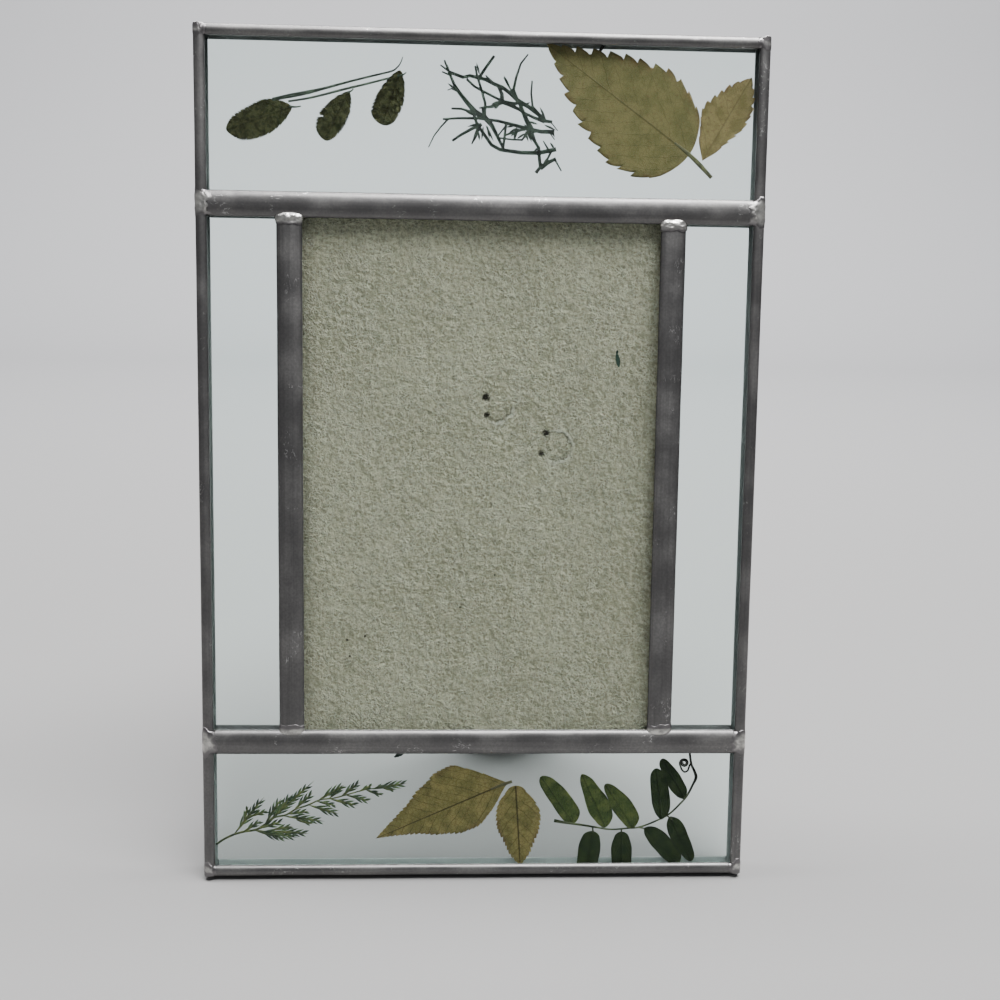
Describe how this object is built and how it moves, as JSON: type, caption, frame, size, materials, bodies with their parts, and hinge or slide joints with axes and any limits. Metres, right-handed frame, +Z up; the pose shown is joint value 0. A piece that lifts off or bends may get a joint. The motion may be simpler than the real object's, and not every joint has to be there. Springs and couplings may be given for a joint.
{
  "type": "picture frame",
  "caption": "Standing leaded glass picture frame with pressed leaves and sprigs sealed between clear panes above and below a portrait window, propped on an easel leg.",
  "frame": {"origin": "under the middle of the whole standing part, at floor level", "axes": "+Z up, +X to the viewer's right, -Y towards the viewer; the frame leans back about +X"},
  "size_m": [0.1436, 0.079, 0.2141],
  "materials": {
    "lead": "dull oxidised lead, burnished on its crowns",
    "solder": "bright uneven solder",
    "glass": "clear float glass",
    "board_paper": "embossed grey-khaki paper",
    "leg_paper": "matte paper covering",
    "hinge_steel": "plain pressed steel",
    "oval_leaf": "dry pressed leaf",
    "large_leaf": "dry pressed leaf",
    "small_leaf": "dry pressed leaf",
    "gold_leaf": "dry pressed leaf",
    "thread_leaf": "dry pressed plant",
    "feathery_leaf": "dry pressed plant",
    "green_leaf": "dry pressed leaf"
  },
  "bodies": {
    "frame": {"backing_board": "board_paper", "came_bottom_edge": "lead", "came_left_edge": "lead", "came_left_upright": "lead", "came_lower_bar": "lead", "came_right_edge": "lead", "came_right_upright": "lead", "came_top_edge": "lead", "came_upper_bar": "lead", "glass_bottom_back": "glass", "glass_bottom_front": "glass", "glass_left_back": "glass", "glass_left_front": "glass", "glass_right_back": "glass", "glass_right_front": "glass", "glass_top_back": "glass", "glass_top_front": "glass", "glass_window": "glass", "hinge_plate": "hinge_steel", "leaf_gold_hanging": "gold_leaf", "leaf_gold_lying": "gold_leaf", "leaf_large": "large_leaf", "leaf_small": "small_leaf", "solder_left_bottom": "solder", "solder_left_foot_back": "solder", "solder_left_foot_front": "solder", "solder_left_head_back": "solder", "solder_left_head_front": "solder", "solder_left_lower": "solder", "solder_left_top": "solder", "solder_left_upper": "solder", "solder_right_bottom": "solder", "solder_right_foot_back": "solder", "solder_right_foot_front": "solder", "solder_right_head_back": "solder", "solder_right_head_front": "solder", "solder_right_lower": "solder", "solder_right_top": "solder", "solder_right_upper": "solder", "sprig_feathery": "feathery_leaf", "sprig_oval_leaflet_1": "oval_leaf", "sprig_oval_leaflet_2": "oval_leaf", "sprig_oval_leaflet_3": "oval_leaf", "sprig_oval_stems": "green_leaf", "sprig_threads": "thread_leaf", "sprig_vetch_leaflet_1": "green_leaf", "sprig_vetch_leaflet_2": "green_leaf", "sprig_vetch_leaflet_3": "green_leaf", "sprig_vetch_leaflet_4": "green_leaf", "sprig_vetch_leaflet_5": "green_leaf", "sprig_vetch_leaflet_6": "green_leaf", "sprig_vetch_leaflet_7": "green_leaf", "sprig_vetch_leaflet_8": "green_leaf", "sprig_vetch_leaflet_9": "green_leaf", "sprig_vetch_stalk": "green_leaf", "stalk_end": "oval_leaf"},
    "leg": {"leg_board": "leg_paper", "leg_strap": "hinge_steel"}
  },
  "joints": [
    {"name": "leg_fold", "type": "hinge", "parent": "frame", "child": "leg", "pos_m": [0.0119, -0.00754, 0.1288], "axis": [1, 0, 0], "range_deg": [-29, 0]}
  ]
}
